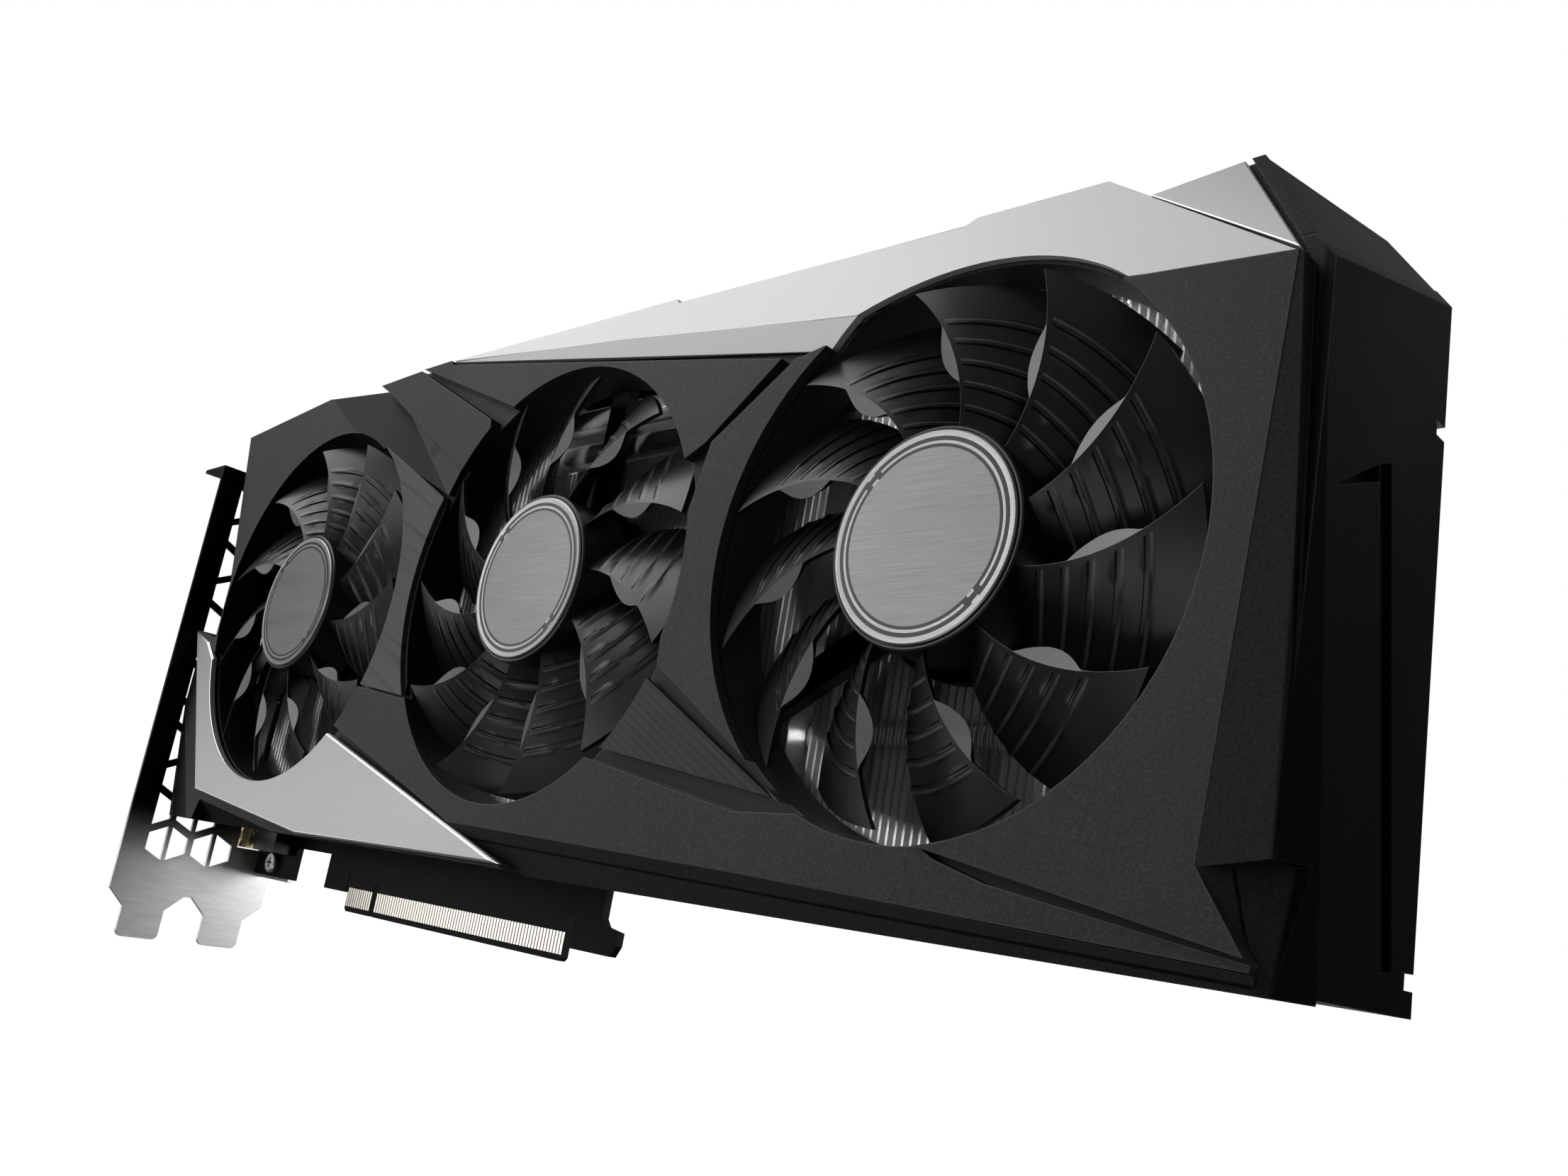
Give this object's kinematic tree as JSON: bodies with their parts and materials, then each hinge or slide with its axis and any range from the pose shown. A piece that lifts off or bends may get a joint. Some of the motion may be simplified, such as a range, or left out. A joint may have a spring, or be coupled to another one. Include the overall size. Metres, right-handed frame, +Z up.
{
  "type": "graphics card",
  "caption": "Dual-slot graphics card with three open axial fans in an angular shroud, silver trims, finned heatsink with heat pipes, rear I/O bracket and card edge.",
  "frame": {"origin": "key notch of the card edge: its centre line along the card, the bottom end of the edge contacts, and the middle plane of the circuit board", "axes": "+X along the card away from the bracket, +Y out of the backplate so the fans face -Y, +Z up out of the slot; the card is stored upright as it stands in a slot"},
  "size_m": [0.2971, 0.0416, 0.1327],
  "materials": {
    "shroud_black": "matt, fine sand grain",
    "silver_trim": "satin silver",
    "brushed_dark": "brushed, dark tint",
    "fan_black": "semi-gloss black",
    "frame_black": "matt",
    "badge_metal": "horizontally brushed disc with turned rings",
    "fin_aluminium": "bare rolled sheet",
    "pipe_nickel": "satin nickel plate",
    "plate_nickel": "satin nickel plate",
    "steel": "smooth bright steel",
    "screw_steel": "zinc-plated",
    "black_screw": "black oxide",
    "magnet": "bonded ferrite",
    "lamination": "stacked sheet",
    "copper_wire": "enamelled winding wire",
    "bronze": "sintered sleeve",
    "board_black": "solder-masked laminate",
    "gold": "hard gold plate",
    "chip_black": "moulded package",
    "die_grey": "polished silicon",
    "choke_grey": "pressed powder",
    "can_silver": "drawn can",
    "pad_grey": "soft pad",
    "socket_black": "moulded",
    "header_cream": "moulded",
    "port_metal": "tin-plated shell",
    "port_gold": "gold-plated shell",
    "plate_black": "satin powder coat"
  },
  "bodies": {
    "card": {"backplate": "plate_black", "backplate_screws": "black_screw", "bearing_left": "bronze", "bearing_middle": "bronze", "bearing_right": "bronze", "bracket": "steel", "bracket_screws": "screw_steel", "capacitors": "can_silver", "chokes": "choke_grey", "cold_plate": "plate_nickel", "display_ports": "port_gold", "edge_contacts": "gold", "fan_frame_left": "frame_black", "fan_frame_middle": "frame_black", "fan_frame_right": "frame_black", "fan_headers": "header_cream", "fan_screws": "screw_steel", "fin_stack_left": "fin_aluminium", "fin_stack_middle": "fin_aluminium", "fin_stack_right": "fin_aluminium", "gpu_die": "die_grey", "gpu_substrate": "board_black", "hdmi_ports": "port_metal", "heatpipe_1": "pipe_nickel", "heatpipe_2": "pipe_nickel", "heatpipe_3": "pipe_nickel", "heatpipe_4": "pipe_nickel", "insert_left": "brushed_dark", "insert_right": "brushed_dark", "memory_chips": "chip_black", "memory_plate": "plate_nickel", "mosfets": "chip_black", "pcb": "board_black", "power_pins": "gold", "power_socket_6pin": "socket_black", "power_socket_8pin": "socket_black", "retention_cross": "steel", "shroud": "shroud_black", "spring_screws": "screw_steel", "stator_left": "lamination", "stator_middle": "lamination", "stator_right": "lamination", "thermal_pads": "pad_grey", "trim_low": "silver_trim", "trim_tail": "silver_trim", "trim_top": "silver_trim", "windings": "copper_wire"},
    "fan_left": {"rotor_left": "fan_black", "badge_left": "badge_metal", "magnet_ring_left": "magnet", "shaft_left": "steel"},
    "fan_middle": {"rotor_middle": "fan_black", "badge_middle": "badge_metal", "magnet_ring_middle": "magnet", "shaft_middle": "steel"},
    "fan_right": {"rotor_right": "fan_black", "badge_right": "badge_metal", "magnet_ring_right": "magnet", "shaft_right": "steel"}
  },
  "joints": [
    {"name": "fan_left_spin", "type": "hinge", "parent": "card", "child": "fan_left", "pos_m": [-0.008, -0.026, 0.0658], "axis": [0, 1, 0], "continuous": true},
    {"name": "fan_middle_spin", "type": "hinge", "parent": "card", "child": "fan_middle", "pos_m": [0.0816, -0.026, 0.0658], "axis": [0, 1, 0], "continuous": true},
    {"name": "fan_right_spin", "type": "hinge", "parent": "card", "child": "fan_right", "pos_m": [0.1712, -0.026, 0.0658], "axis": [0, 1, 0], "continuous": true}
  ]
}
